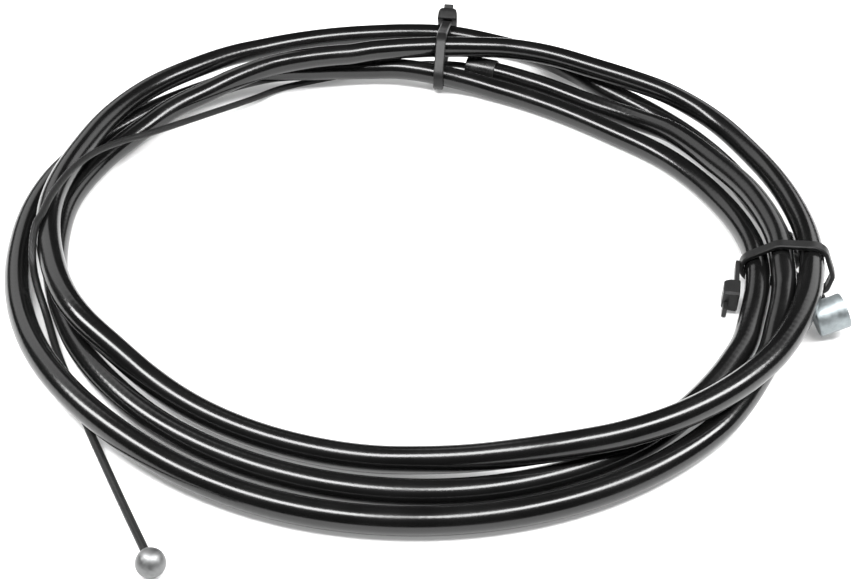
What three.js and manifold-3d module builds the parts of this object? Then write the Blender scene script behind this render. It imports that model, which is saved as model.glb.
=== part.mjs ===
// A bicycle brake cable as it is sold: the plastic-covered housing lies in a loose coil of a little over three
// turns, the wire inside it carries a ball at one end and a barrel at the other, and two cable ties hold the coil.
// Millimetres, +Z up. The coil lies on the plane z = 0 and its footprint is centred on the origin.
import * as THREE from "three";
import { mergeVertices } from "three/addons/utils/BufferGeometryUtils.js";
import Module from "manifold-3d";

// Housing, from the inside out: liner, steel winding, jacket. A gap lies between each layer and the next, and the
// jacket fills what is left up to the housing's diameter.
const HOUSING_DIAMETER = 5;
const WINDING_WALL = 0.5;
const LINER_WALL = 0.25;
const LAYER_GAP = 0.15;
const WIRE_SLIDE_GAP = 0.2;
const HOUSING_SIDES = 12;
const INNER_SIDES = 8;

// Wire and its two cast ends
const WIRE_DIAMETER = 1.5;
const WIRE_BORE_GAP = 0.15;
const BALL_DIAMETER = 5;
const BARREL_DIAMETER = 7;
const BARREL_LENGTH = 6.2;
const BARREL_CHAMFER = 0.4;
const BARREL_AZIMUTH = 8;
const BARREL_TILT = 22;
const ROUND_SEGMENTS = 24;

// Ferrules: a thin cup over each end of the housing
const FERRULE_LENGTH = 7.5;
const FERRULE_WALL = 0.25;
const FERRULE_END_WALL = 1;
const FERRULE_GAP = 0.12;

// Coil: the housing goes clockwise seen from above. Its centre line stays near COIL_RADIUS, and moves from it by
// lanes, one lane being the housing's diameter and the gap to its neighbour.
const COIL_RADIUS = 76;
const COIL_START = 79;
const STRAND_GAP = 0.3;
const STATION_DEGREES = 15;
const LANE = HOUSING_DIAMETER + STRAND_GAP;

// How the housing lies: [degrees travelled, lanes outwards, lanes upwards]
const LAY = [
  [0, -1.6, 0.07], [7, -1.78, 0.07], [14, -1.9, 0.03], [28, -1.95, 0], [40, -1.8, 0.3], [49, -1.6, 0.65],
  [62, -1.3, 0.9], [74, -0.65, 1.03], [85, -0.1, 0.99], [90, 0.04, 0.92], [95, 0.25, 0.65],
  [99, 0.35, 0.55], [103.5, 0.44, 0.4], [108, 0.6, 0.15], [114, 0.7, 0.02], [120, 0.88, 0], [126, 1.05, 0],
  [147, 1.25, 0], [180, 1.35, 0], [195, 1.33, 0.1], [207, 1.35, 0.35], [215, 1.35, 0.41],
  [223, 1.32, 0.35], [236, 1.22, 0.1], [250, 1.12, 0], [262, 1.05, 0], [272, 0.85, 0], [295, -0.1, 0],
  [304, -0.5, 0.05], [311, -0.88, 0.22], [317, -1.35, 0.38], [321, -1.7, 0.42], [325, -2.03, 0.42],
  [329, -2.2, 0.39], [333, -2.25, 0.3], [338, -2.3, 0.24], [344, -2.5, 0.3], [352, -2.94, 0.33],
  [360, -3.05, 0.15], [369, -3.25, 0.04], [384, -3.35, 0], [399, -3.1, 0], [414, -2.3, 0], [429, -1.55, 0],
  [439, -1.13, 0.15], [447, -0.86, 0.3], [454, -0.7, 0.27], [463, -0.55, 0.05], [468, -0.42, 0],
  [473, -0.38, 0], [485, -0.2, 0], [496, 0.05, 0], [513, 0.17, 0], [526, 0.17, 0], [562, 0.02, 0],
  [574, -0.07, 0], [585, -0.16, 0], [593, -0.24, 0], [605, -0.24, 0], [613, -0.24, 0], [623, -0.22, 0],
  [634, -0.44, 0.03], [646, -0.8, 0.18], [654, -1.06, 0.42], [661, -1.36, 0.58], [668, -1.6, 0.82],
  [675, -1.98, 1.12], [681, -2.38, 1.32], [689, -2.67, 1.38], [693, -2.7, 1.35], [698, -2.58, 1.35],
  [703, -2.48, 1.34], [710, -2.2, 1.28], [720, -1.65, 1.18], [727, -1.22, 1.15], [735, -0.97, 1.14],
  [745, -0.8, 1.11], [753, -0.45, 1.08], [760, 0.15, 0.92], [768, 0.78, 0.57], [780, 0.96, 0.43],
  [794, 0.99, 0.7], [807, 1.12, 1.0], [814, 1.16, 1.08], [820, 1.17, 1.1], [828, 1.1, 1.08],
  [834, 1.0, 1.06], [849, 0.55, 1.04], [860, 0.16, 1.04], [867, -0.17, 0.98], [873, -0.5, 0.77],
  [880, -0.88, 0.42], [887, -1.15, 0.15], [894, -1.23, 0.02], [904, -1.25, 0], [914, -1.25, 0],
  [924, -1.2, 0.08], [932, -1.08, 0.31], [939, -0.82, 0.72], [946, -0.5, 0.96], [952, -0.33, 1.05],
  [962, -0.22, 1.06], [976, -0.02, 1.05], [992, -0.03, 1.04], [1003, 0.12, 1.04], [1014, 0.18, 1.04],
  [1024, 0.1, 1.0], [1032, 0.25, 0.85], [1040, 0.48, 0.6], [1059, 0.92, 0.27], [1066, 0.97, 0.26],
  [1074, 0.96, 0.26], [1083, 0.85, 0.1], [1091, 0.65, 0], [1099, 0.1, 0], [1108, -0.45, 0],
  [1120, -0.52, 0], [1132, -0.4, 0], [1140, -0.28, 0], [1150, -0.08, 0], [1160, 0.27, 0.08],
  [1166, 0.42, 0.1],
];

// The wire's free route from the ferrule that shows to the ball: [bearing from the coil's centre in degrees, lanes
// outwards from COIL_RADIUS, lanes upwards]. The ball and the barrel lie on the surface.
const BALL_ROUTE = [
  [90, -1.21, 0.16], [97.5, -1.36, 0.02], [105.5, -1.65, 0.01], [114.3, -1.79, 0.01], [121.3, -1.8, 0.02],
  [130, -2.35, 0.31], [144.7, -2.59, 0.84], [157.6, -2.06, 1.29], [164.3, -1.48, 1.59],
  [170.6, -0.99, 1.86], [176.9, -0.6, 2.01], [183.8, -0.23, 2.05], [189, 0.03, 2.01], [191.9, 0.28, 1.88],
  [196.5, 0.46, 1.41], [199.4, 0.47, 0.69], [203.2, 0.38, 0.12], [210.1, 0.49, 0.01], [214.9, 0.65, 0.01],
  [223.2, 1.1, 0.01], [228.1, 1.57, 0.01], [238.3, 2.94, 0.03],
];
const BALL_PLACE = { bearing: 246.8, out: 4.8 };
const BARREL_PLACE = { bearing: -19.3, out: 2.1 };
const BARREL_LEAD = 7.5;
const FERRULE_LEAD = 4;

// Cable ties: a strap round the strands, and a head that the cut tail of the strap sticks out of
const STRAP_WIDTH = 2.4;
const STRAP_THICKNESS = 0.9;
const STRAP_GAP = 0.35;
const STRAP_SEGMENTS = 6;
const SLACK_RADIUS = 1;
const SLACK_LIFT = 0.1;
const SLACK_FOOT_REACH = 3;
const SLACK_BULGE_REACH = 3.4;
const SLACK_BULGE_HEIGHT = 4.6;
const BACK_TIE_ANGLE = 85.5;
const BACK_HEAD_TILT = 35;
const SIDE_TIE_ANGLE = -11;
const HEAD_LENGTH = 4.8;
const HEAD_WIDTH = 5;
const HEAD_HEIGHT = 3.2;
const HEAD_OVERLAP = 0.3;
const HEAD_LIFT = 0.3;
const TAIL_WIDTH = 2.4;
const TAIL_LENGTH = 2.2;
const TAIL_OVERLAP = 0.2;
const TAIL_INSET = 0.9;
const NECK_LENGTH = 6.9;
const NECK_GAP = 0.3;
const NECK_DROP = 0.4;
const HEAD_INSET = 0.9;
const FULL_TURN = 360;
const WELD_DISTANCE = 1e-4;

const housingRadius = HOUSING_DIAMETER / 2;
const wireRadius = WIRE_DIAMETER / 2;
const linerBore = wireRadius + WIRE_SLIDE_GAP;
const linerRadius = linerBore + LINER_WALL;
const windingBore = linerRadius + LAYER_GAP;
const windingRadius = windingBore + WINDING_WALL;
const jacketBore = windingRadius + LAYER_GAP;
const wireHole = wireRadius + WIRE_BORE_GAP;
const ferruleRadius = housingRadius + FERRULE_GAP + FERRULE_WALL;
const strapReach = housingRadius + STRAP_GAP;

const wasm = await Module();
wasm.setup();

const blackGloss = new THREE.MeshStandardMaterial({ color: 0x101114, roughness: 0.25, metalness: 0 });
const blackNylon = new THREE.MeshStandardMaterial({ color: 0x1b1c1f, roughness: 0.45, metalness: 0 });
const blackWire = new THREE.MeshStandardMaterial({ color: 0x26282a, roughness: 0.4, metalness: 0.3 });
const steel = new THREE.MeshStandardMaterial({ color: 0x8d9194, roughness: 0.35, metalness: 1 });
const linerPlastic = new THREE.MeshStandardMaterial({ color: 0xd9dadb, roughness: 0.5, metalness: 0 });
const castZinc = new THREE.MeshStandardMaterial({ color: 0xa7adaf, roughness: 0.5, metalness: 0.8 });

const cable = new THREE.Group();

function add(name, geometry, material) {
  const mesh = new THREE.Mesh(geometry, material);
  mesh.name = name;
  cable.add(mesh);
  return mesh;
}

// A closed geometry as a solid that can be cut or joined, and a solid as a geometry again
function solid(geometry) {
  const bare = geometry.clone();
  bare.deleteAttribute("normal");
  bare.deleteAttribute("uv");
  const merged = mergeVertices(bare, WELD_DISTANCE);
  const mesh = new wasm.Mesh({
    numProp: 3,
    vertProperties: merged.attributes.position.array,
    triVerts: new Uint32Array(merged.index.array),
  });
  return new wasm.Manifold(mesh);
}

function geometryOf(made) {
  const mesh = made.getMesh();
  const geometry = new THREE.BufferGeometry();
  geometry.setAttribute("position", new THREE.BufferAttribute(mesh.vertProperties, 3));
  geometry.setIndex(new THREE.BufferAttribute(mesh.triVerts, 1));
  return geometry;
}

// How far out and up the housing lies at an angle of travel, smooth through the rows of LAY
function lay(travel) {
  const next = Math.max(1, LAY.findIndex((row) => row[0] >= travel));
  const [from, to] = [LAY[next - 1], LAY[next]];
  const before = LAY[Math.max(next - 2, 0)];
  const after = LAY[Math.min(next + 1, LAY.length - 1)];
  const span = to[0] - from[0];
  const s = (travel - from[0]) / span;
  return [1, 2].map((k) => {
    const slopeFrom = (to[k] - before[k]) / (to[0] - before[0]);
    const slopeTo = (after[k] - from[k]) / (after[0] - from[0]);
    return (
      from[k] * (2 * s ** 3 - 3 * s ** 2 + 1) +
      to[k] * (3 * s ** 2 - 2 * s ** 3) +
      span * (slopeFrom * (s ** 3 - 2 * s ** 2 + s) + slopeTo * (s ** 3 - s ** 2))
    );
  });
}

// Radius and height of the housing's centre line at an angle of travel
function strand(travel) {
  const [out, up] = lay(travel);
  return { radius: COIL_RADIUS + out * LANE, height: housingRadius + up * LANE };
}

function coilPoint(travel) {
  const angle = THREE.MathUtils.degToRad(COIL_START - travel);
  const { radius, height } = strand(travel);
  return new THREE.Vector3(radius * Math.cos(angle), radius * Math.sin(angle), height);
}

// The stations stand at the same angles on every turn, so that neighbouring turns keep their gap
function coilPoints() {
  const travel = LAY[LAY.length - 1][0];
  const points = [];
  for (let degrees = 0; degrees < travel; degrees += STATION_DEGREES) points.push(coilPoint(degrees));
  points.push(coilPoint(travel));
  return points;
}

// A place near the coil: its bearing, its lanes outwards from COIL_RADIUS and its height
function around(bearing, out, height) {
  const angle = THREE.MathUtils.degToRad(bearing);
  const radius = COIL_RADIUS + out * LANE;
  return new THREE.Vector3(radius * Math.cos(angle), radius * Math.sin(angle), height);
}

function circlePoints(radius, sides) {
  const points = [];
  for (let i = 0; i < sides; i++) {
    const angle = (2 * Math.PI * i) / sides;
    points.push(new THREE.Vector2(radius * Math.cos(angle), radius * Math.sin(angle)));
  }
  return points;
}

// A round rod or pipe with one section at each of the points
function pipe(points, radius, bore, sides) {
  const section = new THREE.Shape(circlePoints(radius, sides));
  if (bore > 0) section.holes.push(new THREE.Path(circlePoints(bore, sides)));
  const path = new THREE.CatmullRomCurve3(points, false, "catmullrom");
  path.getUtoTmapping = (u) => u;
  return new THREE.ExtrudeGeometry(section, { steps: points.length - 1, extrudePath: path });
}

function turned(profile, segments) {
  return new THREE.LatheGeometry(profile.map(([x, y]) => new THREE.Vector2(x, y)), segments);
}

// Turns a piece's own +Y to a direction and moves it to a place
function aim(object, direction, place) {
  object.quaternion.setFromUnitVectors(new THREE.Vector3(0, 1, 0), direction);
  object.position.copy(place);
}

// A blind hole for the wire along +Y, from the middle of a piece to well outside it
function wireBore() {
  const length = BARREL_DIAMETER;
  const bore = new THREE.CylinderGeometry(wireHole, wireHole, length, ROUND_SEGMENTS / 2);
  bore.translate(0, length / 2 - wireHole, 0);
  return solid(bore);
}

const stations = coilPoints();
const last = stations.length - 1;
const startDirection = stations[1].clone().sub(stations[0]).normalize();
const endDirection = stations[last - 1].clone().sub(stations[last]).normalize();

// Housing: jacket, winding and liner, one inside the other along the whole coil
function housing() {
  add("housing_jacket", pipe(stations, housingRadius, jacketBore, HOUSING_SIDES), blackGloss);
  add("housing_winding", pipe(stations, windingRadius, windingBore, INNER_SIDES), steel);
  add("housing_liner", pipe(stations, linerRadius, linerBore, INNER_SIDES), linerPlastic);
}

// Ferrules: each cup's closed end faces away from the housing and lets the wire through
function ferrule(name, end, direction) {
  const cup = housingRadius + FERRULE_GAP;
  const profile = [
    [wireHole, 0],
    [ferruleRadius, 0],
    [ferruleRadius, FERRULE_LENGTH],
    [cup, FERRULE_LENGTH],
    [cup, FERRULE_END_WALL],
    [wireHole, FERRULE_END_WALL],
    [wireHole, 0],
  ];
  const mesh = add(name, turned(profile, ROUND_SEGMENTS), blackNylon);
  const face = end.clone().addScaledVector(direction, -(FERRULE_END_WALL + FERRULE_GAP));
  aim(mesh, direction, face);
}

// Barrel: a cast cylinder which the wire enters square to its axis. The stiff wire holds it leaning, with one rim on
// the surface.
const barrelRadius = BARREL_DIAMETER / 2;
const barrelAngle = THREE.MathUtils.degToRad(BARREL_AZIMUTH);
const barrelTilt = THREE.MathUtils.degToRad(BARREL_TILT);
const rimReach = BARREL_LENGTH / 2 - BARREL_CHAMFER;
const barrelHeight = barrelRadius * Math.cos(barrelTilt) + rimReach * Math.sin(barrelTilt);
const barrelCentre = around(BARREL_PLACE.bearing, BARREL_PLACE.out, barrelHeight);
const barrelAxis = new THREE.Vector3(
  Math.cos(barrelAngle) * Math.cos(barrelTilt),
  Math.sin(barrelAngle) * Math.cos(barrelTilt),
  Math.sin(barrelTilt),
);
const barrelEntry = new THREE.Vector3(-Math.sin(barrelAngle), Math.cos(barrelAngle), 0);

function barrel() {
  const half = BARREL_LENGTH / 2;
  const profile = [
    [0, -half],
    [barrelRadius - BARREL_CHAMFER, -half],
    [barrelRadius, BARREL_CHAMFER - half],
    [barrelRadius, half - BARREL_CHAMFER],
    [barrelRadius - BARREL_CHAMFER, half],
    [0, half],
  ];
  const body = turned(profile, ROUND_SEGMENTS);
  const toAxis = new THREE.Quaternion().setFromUnitVectors(new THREE.Vector3(0, 1, 0), barrelAxis);
  body.applyQuaternion(toAxis);
  const toEntry = new THREE.Matrix4().makeRotationFromQuaternion(
    new THREE.Quaternion().setFromUnitVectors(new THREE.Vector3(0, 1, 0), barrelEntry),
  );
  const drilled = solid(body).subtract(wireBore().transform(toEntry.elements));
  add("barrel_end", geometryOf(drilled), castZinc).position.copy(barrelCentre);
}

// Ball: cast on the other end of the wire, resting on the surface
const ballRadius = BALL_DIAMETER / 2;
const ballCentre = around(BALL_PLACE.bearing, BALL_PLACE.out, ballRadius);
const ballRoute = BALL_ROUTE.map(([bearing, out, up]) => around(bearing, out, wireRadius + up * LANE));
const ballEntry = ballRoute[ballRoute.length - 1].clone().sub(ballCentre).normalize();

function ball() {
  const body = new THREE.SphereGeometry(ballRadius, ROUND_SEGMENTS, ROUND_SEGMENTS / 2);
  const drilled = solid(body).subtract(wireBore());
  aim(add("ball_end", geometryOf(drilled), castZinc), ballEntry, ballCentre);
}

// Wire: from inside the ball, through the whole housing, to inside the barrel
function wire() {
  const points = [ballCentre, ...ballRoute.reverse()];
  points.push(stations[0].clone().addScaledVector(startDirection, -FERRULE_LEAD));
  points.push(...stations);
  points.push(stations[last].clone().addScaledVector(endDirection, -FERRULE_LEAD));
  points.push(barrelCentre.clone().addScaledVector(barrelEntry, BARREL_LEAD));
  points.push(barrelCentre.clone());
  add("brake_wire", pipe(points, wireRadius, 0, INNER_SIDES), blackWire);
}

// The outline that a tight band takes round discs, which are given anticlockwise and stand on its outline
function bandOutline(discs, reach, outline) {
  const normals = discs.map((disc, i) => {
    const next = discs[(i + 1) % discs.length];
    const along = Math.atan2(next.y - disc.y, next.x - disc.x);
    const apart = Math.hypot(next.x - disc.x, next.y - disc.y);
    return along - Math.PI / 2 + Math.asin((disc.radius - next.radius) / apart);
  });
  discs.forEach((disc, i) => {
    const from = normals[(i + discs.length - 1) % discs.length];
    let to = normals[i];
    while (to < from) to += 2 * Math.PI;
    outline.absarc(disc.x, disc.y, disc.radius + reach, from, to, false);
  });
  outline.closePath();
  return outline;
}

function strap(discs) {
  const section = bandOutline(discs, STRAP_THICKNESS, new THREE.Shape());
  section.holes.push(bandOutline(discs, 0, new THREE.Path()));
  const band = new THREE.ExtrudeGeometry(section, { depth: STRAP_WIDTH, bevelEnabled: false, curveSegments: STRAP_SEGMENTS });
  band.translate(0, 0, -STRAP_WIDTH / 2);
  return solid(band);
}

function block(width, height, depth, x, y, z, tilt = 0) {
  const box = new THREE.BoxGeometry(width, height, depth);
  box.rotateZ(tilt);
  box.translate(x, y, z);
  return solid(box);
}

// A strand's disc where it passes through the upright plane of a tie: x is its distance from the coil's axis, and
// y its height
function disc(travel) {
  const angle = THREE.MathUtils.degToRad(COIL_START - travel);
  const across = new THREE.Vector3(Math.sin(angle), -Math.cos(angle), 0);
  const station = Math.floor(travel / STATION_DEGREES) * STATION_DEGREES;
  const from = coilPoint(station);
  const to = coilPoint(station + STATION_DEGREES);
  const place = from.clone().lerp(to, across.dot(from) / across.dot(from.clone().sub(to)));
  return { x: Math.hypot(place.x, place.y), y: place.z, radius: strapReach };
}

function tie(name, angle, made) {
  const turn = THREE.MathUtils.degToRad(angle);
  const outwards = new THREE.Vector3(Math.cos(turn), Math.sin(turn), 0);
  const up = new THREE.Vector3(0, 0, 1);
  const mesh = add(name, geometryOf(made), blackNylon);
  mesh.quaternion.setFromRotationMatrix(
    new THREE.Matrix4().makeBasis(outwards, up, outwards.clone().cross(up)),
  );
}

// Back tie: round three strands, with its head standing outside the coil
function backTie() {
  const travel = COIL_START - BACK_TIE_ANGLE;
  const outer = disc(travel + 3 * FULL_TURN);
  const discs = [disc(travel + FULL_TURN), outer, disc(travel + 2 * FULL_TURN)];
  const tilt = THREE.MathUtils.degToRad(BACK_HEAD_TILT);
  const reach = strapReach + STRAP_THICKNESS + HEAD_HEIGHT / 2 - HEAD_OVERLAP;
  const headX = outer.x + reach * Math.cos(tilt);
  const headY = outer.y + reach * Math.sin(tilt);
  const tailReach = reach + (HEAD_HEIGHT + TAIL_LENGTH) / 2 - TAIL_OVERLAP;
  const tailX = outer.x + tailReach * Math.cos(tilt);
  const tailY = outer.y + tailReach * Math.sin(tilt);
  const made = strap(discs)
    .add(block(HEAD_HEIGHT, HEAD_LENGTH, HEAD_WIDTH, headX, headY, 0, tilt))
    .add(block(TAIL_LENGTH, STRAP_THICKNESS, TAIL_WIDTH, tailX, tailY, 0, tilt));
  tie("cable_tie_back", BACK_TIE_ANGLE, made);
}

// Side tie: round three strands with slack outside them, and with its head lying along the inside of the coil
function sideTie() {
  const travel = COIL_START - SIDE_TIE_ANGLE;
  const inner = disc(travel + FULL_TURN);
  const outer = disc(travel + 2 * FULL_TURN);
  const footY = STRAP_THICKNESS + SLACK_RADIUS + SLACK_LIFT;
  const slackFoot = { x: outer.x + SLACK_FOOT_REACH, y: footY, radius: SLACK_RADIUS };
  const slackBulge = { x: outer.x + SLACK_BULGE_REACH, y: SLACK_BULGE_HEIGHT, radius: SLACK_RADIUS };
  const neckX = inner.x - strapReach - STRAP_THICKNESS - NECK_GAP;
  const neckY = inner.y - NECK_DROP;
  const headX = neckX - HEAD_INSET;
  const headY = HEAD_WIDTH / 2 + HEAD_LIFT;
  const headZ = NECK_LENGTH + HEAD_LENGTH / 2 - HEAD_OVERLAP;
  const tailX = headX - TAIL_INSET;
  const tailY = TAIL_WIDTH / 2 + HEAD_LIFT;
  const tailZ = headZ + (HEAD_LENGTH + TAIL_LENGTH) / 2 - TAIL_OVERLAP;
  const made = strap([inner, slackFoot, slackBulge, outer, disc(travel)])
    .add(block(STRAP_THICKNESS, TAIL_WIDTH, NECK_LENGTH, neckX, neckY, NECK_LENGTH / 2))
    .add(block(HEAD_HEIGHT, HEAD_WIDTH, HEAD_LENGTH, headX, headY, headZ))
    .add(block(STRAP_THICKNESS, TAIL_WIDTH, TAIL_LENGTH, tailX, tailY, tailZ));
  tie("cable_tie_side", SIDE_TIE_ANGLE, made);
}

housing();
ferrule("ferrule_open", stations[0], startDirection);
ferrule("ferrule_covered", stations[last], endDirection);
wire();
ball();
barrel();
backTie();
sideTie();

// The footprint's middle, on the surface that the cable lies on, is the part's origin
const box = new THREE.Box3().setFromObject(cable, true);
const middle = box.getCenter(new THREE.Vector3());
cable.position.set(-middle.x, -middle.y, -box.min.z);

export default cable;
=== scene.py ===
# A bicycle brake cable, coiled and tied for sale, in metres, in the part's own frame.
import math

import bmesh
import bpy
from mathutils import Matrix, Vector


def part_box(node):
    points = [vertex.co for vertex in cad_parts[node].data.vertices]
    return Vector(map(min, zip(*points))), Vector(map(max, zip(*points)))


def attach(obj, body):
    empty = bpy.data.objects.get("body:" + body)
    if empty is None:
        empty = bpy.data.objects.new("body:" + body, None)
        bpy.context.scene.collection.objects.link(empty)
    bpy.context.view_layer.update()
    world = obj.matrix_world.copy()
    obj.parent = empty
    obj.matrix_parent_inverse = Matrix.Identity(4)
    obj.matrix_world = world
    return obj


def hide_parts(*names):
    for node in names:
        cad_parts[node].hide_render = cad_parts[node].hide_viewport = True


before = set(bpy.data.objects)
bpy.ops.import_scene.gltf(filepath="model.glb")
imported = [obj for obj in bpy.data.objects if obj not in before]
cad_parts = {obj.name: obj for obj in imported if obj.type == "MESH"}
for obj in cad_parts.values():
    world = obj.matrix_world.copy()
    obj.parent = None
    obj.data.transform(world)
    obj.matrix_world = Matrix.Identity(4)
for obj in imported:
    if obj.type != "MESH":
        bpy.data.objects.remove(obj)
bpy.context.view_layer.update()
MM = 0.001


# Camera
# It stands in front of the coil and a little above it, looks down at 39 degrees and leans a little.

CAMERA_PLACE = (1.71 * MM, -228.16 * MM, 173.79 * MM)
CAMERA_DOWN = 39.15
CAMERA_LEAN = 1.55
LENS_MM = 57.11
SENSOR_MM = 36

camera_data = bpy.data.cameras.new("camera")
camera_data.lens = LENS_MM
camera_data.sensor_width = SENSOR_MM
camera_data.sensor_fit = "HORIZONTAL"
camera_data.clip_start = 0.01
camera_data.clip_end = 20
camera = bpy.data.objects.new("camera", camera_data)
bpy.context.scene.collection.objects.link(camera)
camera.matrix_world = (
    Matrix.Translation(CAMERA_PLACE)
    @ Matrix.Rotation(math.radians(90 - CAMERA_DOWN), 4, "X")
    @ Matrix.Rotation(math.radians(CAMERA_LEAN), 4, "Z")
)
bpy.context.scene.camera = camera


# Housing jacket
# Black PVC, extruded over the steel winding, so that the winding's turns show faintly through its gloss.
# It lies in a little over three turns, clockwise seen from above, each turn beside or on another.

HOUSING_RADIUS = 2.5 * MM
JACKET_BORE = 2.0 * MM
JACKET_SIDES = 28
JACKET_GREYS = (0.002, 0.004)
JACKET_ROUGHNESS = (0.16, 0.24)
WINDING_PITCH = 1.45 * MM

# The coil's middle radius, the width of a lane, the bearing of its start, and the degrees between rings
COIL_RADIUS = 76 * MM
LANE = 5.3 * MM
COIL_START = 79
JACKET_STEP = 1.0

# Noise lies mostly between these two values, which are spread over the range a surface needs
NOISE_LOW = 0.3
NOISE_HIGH = 0.7

# How the housing lies: degrees travelled, lanes outwards, lanes upwards
LAY = [
    (0, -1.6, 0.07), (7, -1.78, 0.07), (14, -1.9, 0.03), (28, -1.95, 0), (40, -1.8, 0.3), (49, -1.6, 0.65),
    (62, -1.3, 0.9), (74, -0.65, 1.03), (85, -0.1, 0.99), (90, 0.04, 0.92), (95, 0.25, 0.65),
    (99, 0.35, 0.55), (103.5, 0.44, 0.4), (108, 0.6, 0.15), (114, 0.7, 0.02), (120, 0.88, 0),
    (126, 1.05, 0), (147, 1.25, 0), (180, 1.35, 0), (195, 1.33, 0.1), (207, 1.35, 0.35), (215, 1.35, 0.41),
    (223, 1.32, 0.35), (236, 1.22, 0.1), (250, 1.12, 0), (262, 1.05, 0), (272, 0.85, 0), (295, -0.1, 0),
    (304, -0.5, 0.05), (311, -0.88, 0.22), (317, -1.35, 0.38), (321, -1.7, 0.42), (325, -2.03, 0.42),
    (329, -2.2, 0.39), (333, -2.25, 0.3), (338, -2.3, 0.24), (344, -2.5, 0.3), (352, -2.94, 0.33),
    (360, -3.05, 0.15), (369, -3.25, 0.04), (384, -3.35, 0), (399, -3.1, 0), (414, -2.3, 0),
    (429, -1.55, 0), (439, -1.13, 0.15), (447, -0.86, 0.3), (454, -0.7, 0.27), (463, -0.55, 0.05),
    (468, -0.42, 0), (473, -0.38, 0), (485, -0.2, 0), (496, 0.05, 0), (513, 0.17, 0), (526, 0.17, 0),
    (562, 0.02, 0), (574, -0.07, 0), (585, -0.16, 0), (593, -0.24, 0), (605, -0.24, 0), (613, -0.24, 0),
    (623, -0.22, 0), (634, -0.44, 0.03), (646, -0.8, 0.18), (654, -1.06, 0.42), (661, -1.36, 0.58),
    (668, -1.6, 0.82), (675, -1.98, 1.12), (681, -2.38, 1.32), (689, -2.67, 1.38), (693, -2.7, 1.35),
    (698, -2.58, 1.35), (703, -2.48, 1.34), (710, -2.2, 1.28), (720, -1.65, 1.18), (727, -1.22, 1.15),
    (735, -0.97, 1.14), (745, -0.8, 1.11), (753, -0.45, 1.08), (760, 0.15, 0.92), (768, 0.78, 0.57),
    (780, 0.96, 0.43), (794, 0.99, 0.7), (807, 1.12, 1.0), (814, 1.16, 1.08), (820, 1.17, 1.1),
    (828, 1.1, 1.08), (834, 1.0, 1.06), (849, 0.55, 1.04), (860, 0.16, 1.04), (867, -0.17, 0.98),
    (873, -0.5, 0.77), (880, -0.88, 0.42), (887, -1.15, 0.15), (894, -1.23, 0.02), (904, -1.25, 0),
    (914, -1.25, 0), (924, -1.2, 0.08), (932, -1.08, 0.31), (939, -0.82, 0.72), (946, -0.5, 0.96),
    (952, -0.33, 1.05), (962, -0.22, 1.06), (976, -0.02, 1.05), (992, -0.03, 1.04), (1003, 0.12, 1.04),
    (1014, 0.18, 1.04), (1024, 0.1, 1.0), (1032, 0.25, 0.85), (1040, 0.48, 0.6), (1059, 0.92, 0.27),
    (1066, 0.97, 0.26), (1074, 0.96, 0.26), (1083, 0.85, 0.1), (1091, 0.65, 0), (1099, 0.1, 0),
    (1108, -0.45, 0), (1120, -0.52, 0), (1132, -0.4, 0), (1140, -0.28, 0), (1150, -0.08, 0),
    (1160, 0.27, 0.08), (1166, 0.42, 0.1),
]
COIL_TRAVEL = LAY[-1][0]

# The barrel's place from the coil's centre is known, so the barrel's box gives where the coil's centre is
BARREL_RADIUS = 3.5 * MM
BARREL_HALF = 3.1 * MM
BARREL_EDGE = 0.4 * MM
BARREL_TILT = math.radians(22)
BARREL_PLACE = (-19.3, 2.1)


# A place from the coil's centre, from its bearing, its lanes outwards from COIL_RADIUS and its height
def around(bearing, out, height):
    angle = math.radians(bearing)
    radius = COIL_RADIUS + out * LANE
    return Vector((radius * math.cos(angle), radius * math.sin(angle), height))


barrel_height = BARREL_RADIUS * math.cos(BARREL_TILT) + (BARREL_HALF - BARREL_EDGE) * math.sin(BARREL_TILT)
barrel_from_centre = around(*BARREL_PLACE, barrel_height)
barrel_low, barrel_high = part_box("barrel_end")
coil_centre = (barrel_low + barrel_high) / 2 - barrel_from_centre


# The lanes outwards and upwards at a travel, on a smooth curve through the rows of LAY
def lay(travel):
    k = next((i for i, row in enumerate(LAY) if row[0] >= travel), len(LAY) - 1)
    k = max(k, 1)
    start, end = LAY[k - 1], LAY[k]
    before, after = LAY[max(k - 2, 0)], LAY[min(k + 1, len(LAY) - 1)]
    span = end[0] - start[0]
    s = (travel - start[0]) / span
    found = []
    for i in (1, 2):
        slope_start = (end[i] - before[i]) / (end[0] - before[0])
        slope_end = (after[i] - start[i]) / (after[0] - start[0])
        found.append(
            start[i] * (2 * s**3 - 3 * s**2 + 1)
            + end[i] * (3 * s**2 - 2 * s**3)
            + span * (slope_start * (s**3 - 2 * s**2 + s) + slope_end * (s**3 - s**2))
        )
    return found


# The strand's distance from the coil's upright axis and its height above the table
def strand(travel):
    out, up = lay(travel)
    return COIL_RADIUS + out * LANE, HOUSING_RADIUS + up * LANE


def coil_point(travel):
    radius, height = strand(travel)
    angle = math.radians(COIL_START - travel)
    return coil_centre + Vector((radius * math.cos(angle), radius * math.sin(angle), height))


def coil_points(step):
    count = math.ceil(COIL_TRAVEL / step)
    return [coil_point(COIL_TRAVEL * i / count) for i in range(count + 1)]


# How far along a line each of its points lies
def lengths(points):
    total = [0.0]
    for a, b in zip(points, points[1:]):
        total.append(total[-1] + (b - a).length)
    return total


# Rings across a line: each ring's frame is the one before it, turned by as much as the line bends
def rings_along(points, outline):
    tangents = []
    for i in range(len(points)):
        tangents.append((points[min(i + 1, len(points) - 1)] - points[max(i - 1, 0)]).normalized())
    side = tangents[0].cross(Vector((0, 0, 1))).normalized()
    rings = []
    for i, (point, tangent) in enumerate(zip(points, tangents)):
        if i:
            side = tangents[i - 1].rotation_difference(tangent) @ side
        side = (side - tangent * side.dot(tangent)).normalized()
        above = side.cross(tangent)
        rings.append([point + side * a + above * b for a, b in outline(i)])
    return rings


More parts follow.
